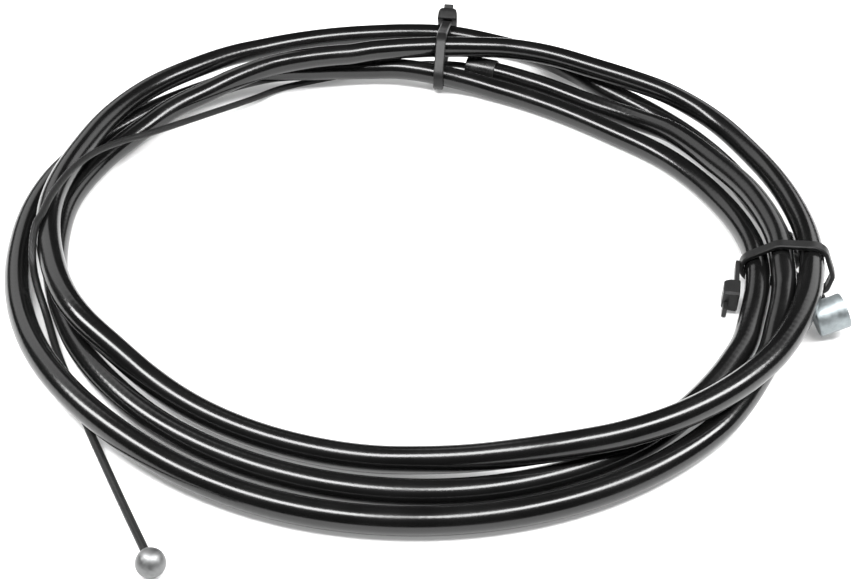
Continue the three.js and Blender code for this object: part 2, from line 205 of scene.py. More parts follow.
def circle(radius, sides):
    angles = [2 * math.pi * k / sides for k in range(sides)]
    return [(radius * math.cos(a), radius * math.sin(a)) for a in angles]


# A mesh through rings of points, with a UV of metres along it and turns round it
def skin(name, rings, along, closed=False, capped=False):
    sides = len(rings[0])
    vertices = [tuple(p) for ring in rings for p in ring]
    faces, uvs = [], []
    for i in range(len(rings) if closed else len(rings) - 1):
        j = (i + 1) % len(rings)
        for k in range(sides):
            m = (k + 1) % sides
            faces.append((i * sides + k, i * sides + m, j * sides + m, j * sides + k))
            u0, u1 = along[i], along[i + 1]
            uvs.append(((u0, k / sides), (u0, (k + 1) / sides), (u1, (k + 1) / sides), (u1, k / sides)))
    if capped:
        last = (len(rings) - 1) * sides
        faces.append(tuple(reversed(range(sides))))
        faces.append(tuple(last + k for k in range(sides)))
        uvs.append([(along[0], k / sides) for k in range(sides)])
        uvs.append([(along[-1], k / sides) for k in range(sides)])
    mesh = bpy.data.meshes.new(name)
    mesh.from_pydata(vertices, [], faces)
    layer = mesh.uv_layers.new(name="length_and_turn")
    layer.data.foreach_set("uv", [c for face in uvs for uv in face for c in uv])
    shape = bmesh.new()
    shape.from_mesh(mesh)
    bmesh.ops.recalc_face_normals(shape, faces=shape.faces)
    shape.to_mesh(mesh)
    shape.free()
    mesh.shade_smooth()
    made = bpy.data.objects.new(name, mesh)
    bpy.context.scene.collection.objects.link(made)
    return made


# An open pipe: its outside, its end face, its inside and its other end face make one closed surface
def pipe(name, points, radius, bore, sides):
    outer = rings_along(points, lambda i: circle(radius, sides))
    inner = rings_along(points, lambda i: circle(bore, sides))
    run = lengths(points)
    return skin(name, outer + inner[::-1], run + run[::-1] + [0.0], closed=True)


# A material with plain values. What varies over the surface is added by the section that uses it
def finish(name, colour, roughness, metallic=0.0, specular=0.5):
    material = bpy.data.materials.new(name)
    material.use_nodes = True
    nodes, links = material.node_tree.nodes, material.node_tree.links
    shader = nodes["Principled BSDF"]
    shader.inputs["Base Color"].default_value = (*colour, 1)
    shader.inputs["Roughness"].default_value = roughness
    shader.inputs["Metallic"].default_value = metallic
    shader.inputs["Specular IOR Level"].default_value = specular
    return material, nodes, links, shader


def noise(nodes, links, vector, scale, detail=3.0, rough=0.55):
    node = nodes.new("ShaderNodeTexNoise")
    node.inputs["Scale"].default_value = scale
    node.inputs["Detail"].default_value = detail
    node.inputs["Roughness"].default_value = rough
    links.new(vector, node.inputs["Vector"])
    return node.outputs["Fac"]


def spread(nodes, links, value, low, high):
    node = nodes.new("ShaderNodeMapRange")
    node.inputs["From Min"].default_value = NOISE_LOW
    node.inputs["From Max"].default_value = NOISE_HIGH
    node.inputs["To Min"].default_value = low
    node.inputs["To Max"].default_value = high
    links.new(value, node.inputs["Value"])
    return node.outputs["Result"]


def blend_colours(nodes, links, value, low, high):
    node = nodes.new("ShaderNodeMix")
    node.data_type = "RGBA"
    node.inputs["A"].default_value = (*low, 1)
    node.inputs["B"].default_value = (*high, 1)
    links.new(value, node.inputs["Factor"])
    return node.outputs["Result"]


# A grey and a roughness that vary together over a surface, each between two values
def mottle(nodes, links, shader, value, greys, roughness):
    dark, light = [(grey, grey, grey) for grey in greys]
    links.new(blend_colours(nodes, links, value, dark, light), shader.inputs["Base Color"])
    links.new(spread(nodes, links, value, *roughness), shader.inputs["Roughness"])


# Layers of relief, each a height, its strength and its depth
def relief(nodes, links, shader, layers):
    before = None
    for height, strength, depth in layers:
        node = nodes.new("ShaderNodeBump")
        node.inputs["Strength"].default_value = strength
        node.inputs["Distance"].default_value = depth
        links.new(height, node.inputs["Height"])
        if before is not None:
            links.new(before, node.inputs["Normal"])
        before = node.outputs["Normal"]
    links.new(before, shader.inputs["Normal"])


# Where a point of the surface lies in the piece, for textures that stay with it
def place(nodes):
    return nodes.new("ShaderNodeTexCoord").outputs["Object"]


# Wound wire under a skin: ridges at a pitch along the length, slanted once round for each turn
def winding_height(nodes, links, pitch):
    run = nodes.new("ShaderNodeUVMap")
    run.uv_map = "length_and_turn"
    parts = nodes.new("ShaderNodeSeparateXYZ")
    links.new(run.outputs["UV"], parts.inputs["Vector"])
    pitches = nodes.new("ShaderNodeMath")
    pitches.operation = "DIVIDE"
    pitches.inputs[1].default_value = pitch
    links.new(parts.outputs["X"], pitches.inputs[0])
    slant = nodes.new("ShaderNodeMath")
    slant.operation = "ADD"
    links.new(parts.outputs["Y"], slant.inputs[0])
    links.new(pitches.outputs["Value"], slant.inputs[1])
    angle = nodes.new("ShaderNodeMath")
    angle.operation = "MULTIPLY"
    angle.inputs[1].default_value = 2 * math.pi
    links.new(slant.outputs["Value"], angle.inputs[0])
    wave = nodes.new("ShaderNodeMath")
    wave.operation = "SINE"
    links.new(angle.outputs["Value"], wave.inputs[0])
    return wave.outputs["Value"]


jacket_line = coil_points(JACKET_STEP)
jacket = pipe("housing_jacket_skin", jacket_line, HOUSING_RADIUS, JACKET_BORE, JACKET_SIDES)
material, nodes, links, shader = finish("black_gloss_pvc", (0.003, 0.003, 0.003), 0.2)
rubbed = noise(nodes, links, place(nodes), 90, 4)
grain = noise(nodes, links, place(nodes), 2600, 2)
swell = noise(nodes, links, place(nodes), 140, 2)
mottle(nodes, links, shader, rubbed, JACKET_GREYS, JACKET_ROUGHNESS)
relief(nodes, links, shader, [
    (swell, 0.25, 0.12 * MM),
    (winding_height(nodes, links, WINDING_PITCH), 0.35, 0.006 * MM),
    (grain, 0.12, 0.01 * MM),
])
jacket.data.materials.append(material)
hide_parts("housing_jacket")
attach(jacket, "root")


# Steel winding
# Flat steel wire wound in a close spiral under the jacket, bright, which keeps the housing from shortening.

WINDING_RADIUS = 1.85 * MM
WINDING_BORE = 1.35 * MM
INNER_STEP = 3.0
INNER_SIDES = 16
WINDING_ROUGHNESS = (0.28, 0.45)

inner_line = coil_points(INNER_STEP)
winding = pipe("housing_winding_turns", inner_line, WINDING_RADIUS, WINDING_BORE, INNER_SIDES)
material, nodes, links, shader = finish("wound_steel", (0.5, 0.51, 0.52), 0.35, 1.0)
relief(nodes, links, shader, [(winding_height(nodes, links, WINDING_PITCH), 1.0, 0.1 * MM)])
drawn = noise(nodes, links, place(nodes), 900)
links.new(spread(nodes, links, drawn, *WINDING_ROUGHNESS), shader.inputs["Roughness"])
winding.data.materials.append(material)
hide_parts("housing_winding")
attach(winding, "root")


# Liner
# A thin white tube of slippery plastic inside the winding, which the wire slides in.

LINER_RADIUS = 1.2 * MM
LINER_BORE = 0.95 * MM
LINER_ROUGHNESS = (0.36, 0.5)

liner = pipe("housing_liner_tube", inner_line, LINER_RADIUS, LINER_BORE, INNER_SIDES)
material, nodes, links, shader = finish("slippery_liner", (0.82, 0.82, 0.8), 0.42)
waxy = noise(nodes, links, place(nodes), 300)
links.new(spread(nodes, links, waxy, *LINER_ROUGHNESS), shader.inputs["Roughness"])
relief(nodes, links, shader, [(noise(nodes, links, place(nodes), 800), 0.2, 0.02 * MM)])
liner.data.materials.append(material)
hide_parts("housing_liner")
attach(liner, "root")


# Brake wire
# Twelve fine steel strands laid round a core, 1.5 mm in all, drawn through a black slick coating.
# It runs from inside the ball, up over the coil and into the housing, and comes out again at the barrel.

WIRE_RADIUS = 0.75 * MM
WIRE_STRANDS = 12
STRAND_POINTS = 4
STRAND_DEPTH = 0.05 * MM
STRAND_LAY = 13 * MM
WIRE_STEP = 0.45 * MM
HIDDEN_STEP = 4.0
BARREL_LEAD = 7.5 * MM
FERRULE_LEAD = 4 * MM
BARREL_AZIMUTH = 8
WIRE_GREYS = (0.004, 0.009)
WIRE_ROUGHNESS = (0.32, 0.48)

# The free route from the ferrule that shows to the ball: bearing, lanes outwards, lanes upwards
BALL_ROUTE = [
    (90, -1.21, 0.16), (97.5, -1.36, 0.02), (105.5, -1.65, 0.01), (114.3, -1.79, 0.01),
    (121.3, -1.8, 0.02), (130, -2.35, 0.31), (144.7, -2.59, 0.84), (157.6, -2.06, 1.29),
    (164.3, -1.48, 1.59), (170.6, -0.99, 1.86), (176.9, -0.6, 2.01), (183.8, -0.23, 2.05),
    (189, 0.03, 2.01), (191.9, 0.28, 1.88), (196.5, 0.46, 1.41), (199.4, 0.47, 0.69), (203.2, 0.38, 0.12),
    (210.1, 0.49, 0.01), (214.9, 0.65, 0.01), (223.2, 1.1, 0.01), (228.1, 1.57, 0.01), (238.3, 2.94, 0.03),
]
BALL_RADIUS = 2.5 * MM
BALL_PLACE = (246.8, 4.8)


# A smooth line through points, close enough together to be swept
def smooth(points, step):
    knots = [points[0] * 2 - points[1], *points, points[-1] * 2 - points[-2]]
    found = []
    for a, b, c, d in zip(knots, knots[1:], knots[2:], knots[3:]):
        count = max(1, math.ceil((c - b).length / step))
        for i in range(count):
            s = i / count
            square, cube = a * 2 - b * 5 + c * 4 - d, b * 3 - a - c * 3 + d
            found.append(0.5 * (b * 2 + (c - a) * s + square * s**2 + cube * s**3))
    return found + [points[-1]]


entry_angle = math.radians(BARREL_AZIMUTH)
barrel_centre = coil_centre + barrel_from_centre
barrel_level = math.cos(BARREL_TILT)
barrel_axis = Vector((
    math.cos(entry_angle) * barrel_level, math.sin(entry_angle) * barrel_level, math.sin(BARREL_TILT),
))
barrel_entry = Vector((-math.sin(entry_angle), math.cos(entry_angle), 0))
ball_centre = coil_centre + around(*BALL_PLACE, BALL_RADIUS)
ball_route = [coil_centre + around(turn, out, WIRE_RADIUS + up * LANE) for turn, out, up in BALL_ROUTE]
coil_first, coil_second = jacket_line[0], jacket_line[1]
coil_last, coil_before = jacket_line[-1], jacket_line[-2]
start_direction = (coil_second - coil_first).normalized()
end_direction = (coil_before - coil_last).normalized()

ball_side = [ball_centre, *reversed(ball_route)]
ball_side += [coil_first - start_direction * FERRULE_LEAD, coil_first]
barrel_side = [coil_last, coil_last - end_direction * FERRULE_LEAD]
barrel_side += [barrel_centre + barrel_entry * BARREL_LEAD, barrel_centre]
wire_line = smooth(ball_side, WIRE_STEP)[:-1] + coil_points(HIDDEN_STEP)[:-1]
wire_line += smooth(barrel_side, WIRE_STEP)
wire_run = lengths(wire_line)

# The strands' twist goes on only where the wire shows, because the hidden rings are far apart
twist_run = [0.0]
for start, end in zip(wire_run, wire_run[1:]):
    twist_run.append(twist_run[-1] + (end - start if end - start < 2 * WIRE_STEP else 0.0))


# The wire's outline at one of its points: a round with a shallow flute between each two strands
def stranded(i):
    count = WIRE_STRANDS * STRAND_POINTS
    twist = 2 * math.pi * twist_run[i] / STRAND_LAY
    found = []
    for k in range(count):
        angle = 2 * math.pi * k / count
        flute = (1 - math.cos(WIRE_STRANDS * angle)) / 2
        radius = WIRE_RADIUS - STRAND_DEPTH * flute
        found.append((radius * math.cos(angle + twist), radius * math.sin(angle + twist)))
    return found


wire = skin("brake_wire_strands", rings_along(wire_line, stranded), wire_run, capped=True)
material, nodes, links, shader = finish("black_coated_wire", (0.006, 0.006, 0.006), 0.38, specular=0.2)
worn = noise(nodes, links, place(nodes), 700, 4)
mottle(nodes, links, shader, worn, WIRE_GREYS, WIRE_ROUGHNESS)
relief(nodes, links, shader, [(noise(nodes, links, place(nodes), 5000, 2), 0.2, 0.01 * MM)])
wire.data.materials.append(material)
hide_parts("brake_wire")
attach(wire, "root")


# Ball end
# Grey zinc, cast straight onto the wire's end in a two-part mould, with the mould's faint parting line
# round it and a short neck where the wire comes out.

NECK_RADIUS = 1.05 * MM
NECK_REACH = 2.62 * MM
BALL_SIDES = 56
BALL_RINGS = 30
NECK_BLEND = 1.15
WIRE_FIT = 1.02
POLE_RADIUS = 0.0002 * MM
PARTING_WIDTH = 0.16 * MM
PARTING_HEIGHT = 0.035 * MM
BALL_DIMPLES = (0.02 * MM, (2100, 1700, 1900), (1.3, 0, 0.6))
BALL_COLOUR = (0.17, 0.173, 0.173)
BALL_ROUGHNESS = 0.42
BLOTCH_DARKER = 0.72
BLOTCH_LIGHTER = 1.18
BLOTCH_SMOOTHER = 0.09
BLOTCH_DULLER = 0.12

# The neck's rounded mouth: shares of its radius, and how far short of its reach
NECK_MOUTH = [(1, 0.12 * MM), (0.96, 0.03 * MM), (0.86, 0)]


# A turned shape from its profile of (radius, reach along the axis), capped at both ends or hollow
def turned(name, profile, sides, centre, axis, hollow=False):
    across = axis.orthogonal().normalized()
    other = axis.cross(across)
    rings = []
    for radius, reach in profile:
        rings.append([
            centre + axis * reach + across * radius * math.cos(2 * math.pi * k / sides)
            + other * radius * math.sin(2 * math.pi * k / sides)
            for k in range(sides)
        ])
    run = lengths([ring[0] for ring in rings])
    if hollow:
        return skin(name, rings, run + [0.0], closed=True)
    return skin(name, rings, run, capped=True)


# The shallow unevenness of a cast skin: its depth, and the waves and phases along each axis
def uneven(out, depth, waves, phases):
    return depth * math.prod(math.sin(o * wave + phase) for o, wave, phase in zip(out, waves, phases))


ball_entry = (ball_route[-1] - ball_centre).normalized()
neck_angle = math.asin(NECK_RADIUS / BALL_RADIUS) * NECK_BLEND
ball_profile = [(POLE_RADIUS, -BALL_RADIUS)]
for i in range(1, BALL_RINGS):
    polar = math.pi - (math.pi - neck_angle) * i / (BALL_RINGS - 1)
    ball_profile.append((BALL_RADIUS * math.sin(polar), BALL_RADIUS * math.cos(polar)))
ball_profile += [(NECK_RADIUS * share, NECK_REACH - short) for share, short in NECK_MOUTH]
ball_profile.append((WIRE_RADIUS * WIRE_FIT, NECK_REACH))
ball = turned("ball_end_cast", ball_profile, BALL_SIDES, ball_centre, ball_entry)
parting_normal = ball_entry.orthogonal().normalized()
for vertex in ball.data.vertices:
    out = vertex.co - ball_centre
    off = abs(out.dot(parting_normal))
    lift = PARTING_HEIGHT * max(0.0, 1 - off / PARTING_WIDTH)
    vertex.co += out.normalized() * (lift + uneven(out, *BALL_DIMPLES))


# Grey zinc as it leaves the mould, blotched and pitted
def cast_zinc(name, colour, dull):
    material, nodes, links, shader = finish(name, colour, dull, 0.85)
    blotch = noise(nodes, links, place(nodes), 520, 5, 0.65)
    pits = noise(nodes, links, place(nodes), 2400, 4, 0.6)
    darker, lighter = [[c * share for c in colour] for share in (BLOTCH_DARKER, BLOTCH_LIGHTER)]
    amount = spread(nodes, links, blotch, 0, 1)
    roughness = spread(nodes, links, blotch, dull - BLOTCH_SMOOTHER, dull + BLOTCH_DULLER)
    links.new(blend_colours(nodes, links, amount, darker, lighter), shader.inputs["Base Color"])
    links.new(roughness, shader.inputs["Roughness"])
    relief(nodes, links, shader, [(blotch, 0.5, 0.08 * MM), (pits, 0.3, 0.03 * MM)])
    return material


ball.data.materials.append(cast_zinc("cast_zinc_ball", BALL_COLOUR, BALL_ROUGHNESS))
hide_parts("ball_end")
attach(ball, "root")


# Barrel end
# The lever's end of the wire: a zinc cylinder, cast across the wire, with softened edges, a shallow dish
# in each flat end and a rough skin. The stiff wire holds it leaning on one rim.

DISH_RADIUS = 1.9 * MM
DISH_DEPTH = 0.18 * MM
DISH_FLOOR = 0.7
DISH_RIM = 1.06
DISH_LIP = 0.03 * MM
BARREL_SIDES = 72
BARREL_RINGS = 12
SIDE_SHARE = 0.5
PARTING_SHARE = 0.9
BARREL_DENTS = (0.03 * MM, (1500, 1900, 1300), (0, 0.7, 0.4))
BARREL_COLOUR = (0.27, 0.3, 0.31)
BARREL_ROUGHNESS = 0.46


# A profile's rounded edge, from one bearing to another round its centre
def rounded(corner_radius, corner_reach, edge, start, end, count=5):
    found = []
    for i in range(count + 1):
        a = math.radians(start + (end - start) * i / count)
        found.append((corner_radius + edge * math.cos(a), corner_reach + edge * math.sin(a)))
    return found


barrel_body = BARREL_HALF - BARREL_EDGE
dish = [
    (POLE_RADIUS, BARREL_HALF - DISH_DEPTH), (DISH_RADIUS * DISH_FLOOR, BARREL_HALF - DISH_DEPTH),
    (DISH_RADIUS, BARREL_HALF - DISH_LIP), (DISH_RADIUS * DISH_RIM, BARREL_HALF),
]
barrel_profile = [(radius, -reach) for radius, reach in dish]
barrel_profile += rounded(BARREL_RADIUS - BARREL_EDGE, -barrel_body, BARREL_EDGE, -90, 0)
for i in range(1, BARREL_RINGS):
    barrel_profile.append((BARREL_RADIUS, barrel_body * (2 * i / BARREL_RINGS - 1)))
barrel_profile += rounded(BARREL_RADIUS - BARREL_EDGE, barrel_body, BARREL_EDGE, 0, 90)
barrel_profile += reversed(dish)
barrel = turned("barrel_end_cast", barrel_profile, BARREL_SIDES, barrel_centre, barrel_axis)
for vertex in barrel.data.vertices:
    out = vertex.co - barrel_centre
    across = out - barrel_axis * out.dot(barrel_axis)
    if across.length <= SIDE_SHARE * BARREL_RADIUS:
        continue
    lift = uneven(out, *BARREL_DENTS)
    if across.length > PARTING_SHARE * BARREL_RADIUS:
        lift += PARTING_HEIGHT * max(0.0, 1 - abs(across.z) / PARTING_WIDTH)
    vertex.co += across.normalized() * lift
barrel.data.materials.append(cast_zinc("cast_zinc_barrel", BARREL_COLOUR, BARREL_ROUGHNESS))
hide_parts("barrel_end")
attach(barrel, "root")


# Ferrules
# A thin cup of black plastic pushed over each end of the housing, so that it stands square in a cable stop.
# The closed end has a hole for the wire, and its edges are moulded round.

FERRULE_RADIUS = 2.87 * MM
FERRULE_CUP = 2.62 * MM
FERRULE_LENGTH = 7.5 * MM
FERRULE_END_WALL = 1 * MM
FERRULE_GAP = 0.12 * MM
FERRULE_HOLE = 0.9 * MM
FERRULE_EDGE = 0.35 * MM
FERRULE_LIP = 0.1 * MM
FERRULE_CHAMFER = 0.1 * MM
FERRULE_SIDES = 48
FERRULE_GREYS = (0.003, 0.007)
FERRULE_ROUGHNESS = (0.2, 0.34)

ferrule_material, nodes, links, shader = finish("black_ferrule", (0.005, 0.005, 0.005), 0.24)
scuffs = noise(nodes, links, place(nodes), 350, 4)
mottle(nodes, links, shader, scuffs, FERRULE_GREYS, FERRULE_ROUGHNESS)
relief(nodes, links, shader, [(noise(nodes, links, place(nodes), 3000, 2), 0.15, 0.015 * MM)])


def ferrule(name, node, end, direction):
    profile = [(FERRULE_HOLE, FERRULE_END_WALL), (FERRULE_HOLE, FERRULE_CHAMFER)]
    profile.append((FERRULE_HOLE + FERRULE_CHAMFER, 0))
    profile += rounded(FERRULE_RADIUS - FERRULE_EDGE, FERRULE_EDGE, FERRULE_EDGE, -90, 0)
    profile += rounded(FERRULE_RADIUS - FERRULE_LIP, FERRULE_LENGTH - FERRULE_LIP, FERRULE_LIP, 0, 90, 3)
    profile += [(FERRULE_CUP, FERRULE_LENGTH), (FERRULE_CUP, FERRULE_END_WALL)]
    foot = end - direction * (FERRULE_END_WALL + FERRULE_GAP)
    made = turned(name, profile, FERRULE_SIDES, foot, direction, hollow=True)
    made.data.materials.append(ferrule_material)
    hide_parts(node)
    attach(made, "root")
    return made


ferrule_open = ferrule("ferrule_open_cup", "ferrule_open", coil_first, start_direction)
ferrule_covered = ferrule("ferrule_covered_cup", "ferrule_covered", coil_last, end_direction)


# Cable ties
# Moulded black nylon. The strap goes once round the strands and through its own head, where a pawl holds
# its teeth, and the tail is cut off short beyond the head.

STRAP_WIDTH = 2.4 * MM
STRAP_THICKNESS = 0.9 * MM
STRAP_GAP = 0.2 * MM
STRAP_EDGE = 0.2 * MM
STRAP_STEP = 0.35 * MM
TOOTH_PITCH = 0.8 * MM
TOOTH_DEPTH = 0.16 * MM
TOOTH_SPAN = 0.72
TOOTH_SIDE = 0.78
HEAD_LENGTH = 4.8 * MM
HEAD_WIDTH = 5 * MM
HEAD_HEIGHT = 3.2 * MM
HEAD_CHAMFER = 0.2 * MM
HEAD_SHOULDER = 0.3 * MM
HEAD_CORNER = 0.45 * MM
HEAD_SUNK = 0.15 * MM
HEAD_INSET = 0.9 * MM
HEAD_LIFT = 0.3 * MM
TAIL_LENGTH = 2.2 * MM
TAIL_CHAMFER = 0.1 * MM
TAIL_CORNER = 0.12 * MM
TAIL_SUNK = 0.2 * MM
TAIL_INSET = 0.9 * MM
NECK_LENGTH = 6.9 * MM
NECK_CORNER = 0.15 * MM
NECK_GAP = 0.3 * MM
NECK_DROP = 0.4 * MM
NECK_SUNK = 0.3 * MM
SLACK_RADIUS = 1 * MM
SLACK_FOOT_OUT = 3 * MM
SLACK_FOOT_LIFT = 0.1 * MM
SLACK_BULGE_OUT = 3.4 * MM
SLACK_BULGE_HEIGHT = 4.6 * MM
BACK_TIE_ANGLE = 85.5
BACK_TILT = math.radians(35)
SIDE_TIE_ANGLE = -11
SHARP_ANGLE = math.radians(35)
UP = Vector((0, 0, 1))
NYLON_GREYS = (0.004, 0.009)
NYLON_ROUGHNESS = (0.33, 0.5)

# The moulded blocks' outlines along their axis: reach, half length, half width
HEAD_STEPS = [
    (-HEAD_HEIGHT / 2, HEAD_LENGTH / 2 - HEAD_CHAMFER, HEAD_WIDTH / 2 - HEAD_CHAMFER),
    (-HEAD_HEIGHT / 2 + HEAD_CHAMFER, HEAD_LENGTH / 2, HEAD_WIDTH / 2),
    (HEAD_HEIGHT * 0.1, HEAD_LENGTH / 2, HEAD_WIDTH / 2 * 0.97),
    (HEAD_HEIGHT / 2 - HEAD_SHOULDER, HEAD_LENGTH / 2 * 0.94, HEAD_WIDTH / 2 * 0.86),
    (HEAD_HEIGHT / 2, HEAD_LENGTH / 2 * 0.86, HEAD_WIDTH / 2 * 0.78),
]
TAIL_STEPS = [
    (-TAIL_LENGTH / 2, STRAP_THICKNESS / 2, STRAP_WIDTH / 2),
    (TAIL_LENGTH / 2 - TAIL_CHAMFER, STRAP_THICKNESS / 2, STRAP_WIDTH / 2),
    (TAIL_LENGTH / 2, STRAP_THICKNESS / 2 - TAIL_CHAMFER, STRAP_WIDTH / 2 - TAIL_CHAMFER),
]
NECK_STEPS = [
    (-NECK_LENGTH / 2, STRAP_THICKNESS / 2, STRAP_WIDTH / 2),
    (NECK_LENGTH / 2, STRAP_THICKNESS / 2, STRAP_WIDTH / 2),
]

nylon, nodes, links, shader = finish("black_nylon", (0.006, 0.006, 0.006), 0.4, specular=0.28)
cloudy = noise(nodes, links, place(nodes), 240, 4)
mottle(nodes, links, shader, cloudy, NYLON_GREYS, NYLON_ROUGHNESS)
relief(nodes, links, shader, [(noise(nodes, links, place(nodes), 1800, 3), 0.2, 0.03 * MM)])


# The outline of a band drawn tight round discs in the tie's upright plane: points with outward directions
def band(discs, step):
    normals = []
    for i, (x, y, r) in enumerate(discs):
        nx, ny, nr = discs[(i + 1) % len(discs)]
        apart = math.hypot(nx - x, ny - y)
        normals.append(math.atan2(ny - y, nx - x) - math.pi / 2 + math.asin((r - nr) / apart))
    found = []
    for i, (x, y, r) in enumerate(discs):
        turn_from, turn_to = normals[i - 1], normals[i]
        while turn_to < turn_from:
            turn_to += 2 * math.pi
        count = max(2, math.ceil((turn_to - turn_from) * r / step))
        for k in range(count + 1):
            a = turn_from + (turn_to - turn_from) * k / count
            found.append((x + r * math.cos(a), y + r * math.sin(a), math.cos(a), math.sin(a)))
        nx, ny, nr = discs[(i + 1) % len(discs)]
        c, s = math.cos(turn_to), math.sin(turn_to)
        x0, y0, x1, y1 = x + r * c, y + r * s, nx + nr * c, ny + nr * s
        count = math.ceil(math.hypot(x1 - x0, y1 - y0) / step)
        for k in range(1, count):
            found.append((x0 + (x1 - x0) * k / count, y0 + (y1 - y0) * k / count, c, s))
    return found


# The upright plane a tie lies in, with x out from the coil's centre, y up and z along the strands
class Plane:
    def __init__(self, angle):
        turn = math.radians(angle)
        self.out = Vector((math.cos(turn), math.sin(turn), 0))
        self.along = Vector((math.sin(turn), -math.cos(turn), 0))

    def point(self, x, y, z=0.0):
        return coil_centre + self.out * x + Vector((0, 0, y)) + self.along * z


# The rings of a strap drawn round discs, toothed on its inside
def strap(plane, discs):
    outline = band(discs, STRAP_STEP)
    points = [plane.point(x, y) for x, y, a, b in outline]
    run = lengths(points + [points[0]])
    half = STRAP_WIDTH / 2
    rings = []
    for i, (x, y, a, b) in enumerate(outline):
        inside = TOOTH_DEPTH * (run[i] / TOOTH_PITCH % 1.0)
        section = [
            (inside, -half * TOOTH_SPAN), (inside, half * TOOTH_SPAN), (0, half * TOOTH_SIDE),
            (0, half - STRAP_EDGE / 2), (STRAP_EDGE, half), (STRAP_THICKNESS - STRAP_EDGE, half),
            (STRAP_THICKNESS, half - STRAP_EDGE), (STRAP_THICKNESS, STRAP_EDGE - half),
            (STRAP_THICKNESS - STRAP_EDGE, -half), (STRAP_EDGE, -half), (0, STRAP_EDGE / 2 - half),
            (0, -half * TOOTH_SIDE),
        ]
        rings.append([plane.point(x + a * d, y + b * d, w) for d, w in section])
    return rings, run, True


# The rings of a moulded block through the outlines in steps, each with its four corners cut off
def block(centre, axis, length_axis, width_axis, steps, corner_cut):
    rings = []
    for reach, half_length, half_width in steps:
        ring = []
        for sl, sw in ((1, 1), (-1, 1), (-1, -1), (1, -1)):
            corner = [(half_length - corner_cut, half_width), (half_length, half_width - corner_cut)]
            if sl * sw > 0:
                corner = corner[::-1]
            ring += [centre + axis * reach + length_axis * sl * l + width_axis * sw * w for l, w in corner]
        rings.append(ring)
    return rings, lengths([ring[0] for ring in rings]), False


# One object of several closed surfaces
def joined(name, pieces):
    vertices, faces, uvs = [], [], []
    for rings, run, closed in pieces:
        part = skin(name + "_part", rings, run, closed=closed, capped=not closed)
        base = len(vertices)
        vertices += [tuple(v.co) for v in part.data.vertices]
        faces += [tuple(base + k for k in face.vertices) for face in part.data.polygons]
        uvs += [tuple(d.uv) for d in part.data.uv_layers[0].data]
        mesh = part.data
        bpy.data.objects.remove(part)
        bpy.data.meshes.remove(mesh)
    mesh = bpy.data.meshes.new(name)
    mesh.from_pydata(vertices, [], faces)
    layer = mesh.uv_layers.new(name="length_and_turn")
    layer.data.foreach_set("uv", [c for uv in uvs for c in uv])
    mesh.shade_smooth()
    mesh.set_sharp_from_angle(angle=SHARP_ANGLE)
    made = bpy.data.objects.new(name, mesh)
    bpy.context.scene.collection.objects.link(made)
    return made


# The strand at a travel as a disc in the tie's plane, with the gap that the strap leaves round it
def disc(travel):
    radius, height = strand(travel)
    return (radius, height, HOUSING_RADIUS + STRAP_GAP)


def tie_piece(name, node, pieces):
    made = joined(name, pieces)
    made.data.materials.append(nylon)
    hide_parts(node)
    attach(made, "root")


back_plane = Plane(BACK_TIE_ANGLE)
back_travel = COIL_START - BACK_TIE_ANGLE
back_discs = [disc(back_travel + 360), disc(back_travel + 1080), disc(back_travel + 720)]
back_reach = HOUSING_RADIUS + STRAP_GAP + STRAP_THICKNESS + HEAD_HEIGHT / 2 - HEAD_SUNK
back_axis = back_plane.out * math.cos(BACK_TILT) + UP * math.sin(BACK_TILT)
back_length = UP * math.cos(BACK_TILT) - back_plane.out * math.sin(BACK_TILT)
outer_x, outer_y, _ = back_discs[1]
back_head = back_plane.point(outer_x, outer_y) + back_axis * back_reach
back_tail = back_head + back_axis * ((HEAD_HEIGHT + TAIL_LENGTH) / 2 - TAIL_SUNK)
tie_piece("cable_tie_back_moulding", "cable_tie_back", [
    strap(back_plane, back_discs),
    block(back_head, back_axis, back_length, back_plane.along, HEAD_STEPS, HEAD_CORNER),
    block(back_tail, back_axis, back_length, back_plane.along, TAIL_STEPS, TAIL_CORNER),
])

side_plane = Plane(SIDE_TIE_ANGLE)
side_travel = COIL_START - SIDE_TIE_ANGLE
side_inner, side_outer = disc(side_travel + 360), disc(side_travel + 720)
slack_height = STRAP_THICKNESS + SLACK_RADIUS + SLACK_FOOT_LIFT
slack_foot = (side_outer[0] + SLACK_FOOT_OUT, slack_height, SLACK_RADIUS)
slack_bulge = (side_outer[0] + SLACK_BULGE_OUT, SLACK_BULGE_HEIGHT, SLACK_RADIUS)
neck_x = side_inner[0] - side_inner[2] - STRAP_THICKNESS - NECK_GAP
head_x = neck_x - HEAD_INSET
head_z = NECK_LENGTH + HEAD_LENGTH / 2 - NECK_SUNK
tail_z = head_z + (HEAD_LENGTH + TAIL_LENGTH) / 2 - TAIL_SUNK
side_neck = side_plane.point(neck_x, side_inner[1] - NECK_DROP, NECK_LENGTH / 2)
side_head = side_plane.point(head_x, HEAD_WIDTH / 2 + HEAD_LIFT, head_z)
side_tail = side_plane.point(head_x - TAIL_INSET, STRAP_WIDTH / 2 + HEAD_LIFT, tail_z)
tie_piece("cable_tie_side_moulding", "cable_tie_side", [
    strap(side_plane, [side_inner, slack_foot, slack_bulge, side_outer, disc(side_travel)]),
    block(side_neck, side_plane.along, side_plane.out, UP, NECK_STEPS, NECK_CORNER),
    block(side_head, -side_plane.out, side_plane.along, UP, HEAD_STEPS, HEAD_CORNER),
    block(side_tail, side_plane.along, side_plane.out, UP, TAIL_STEPS, TAIL_CORNER),
])
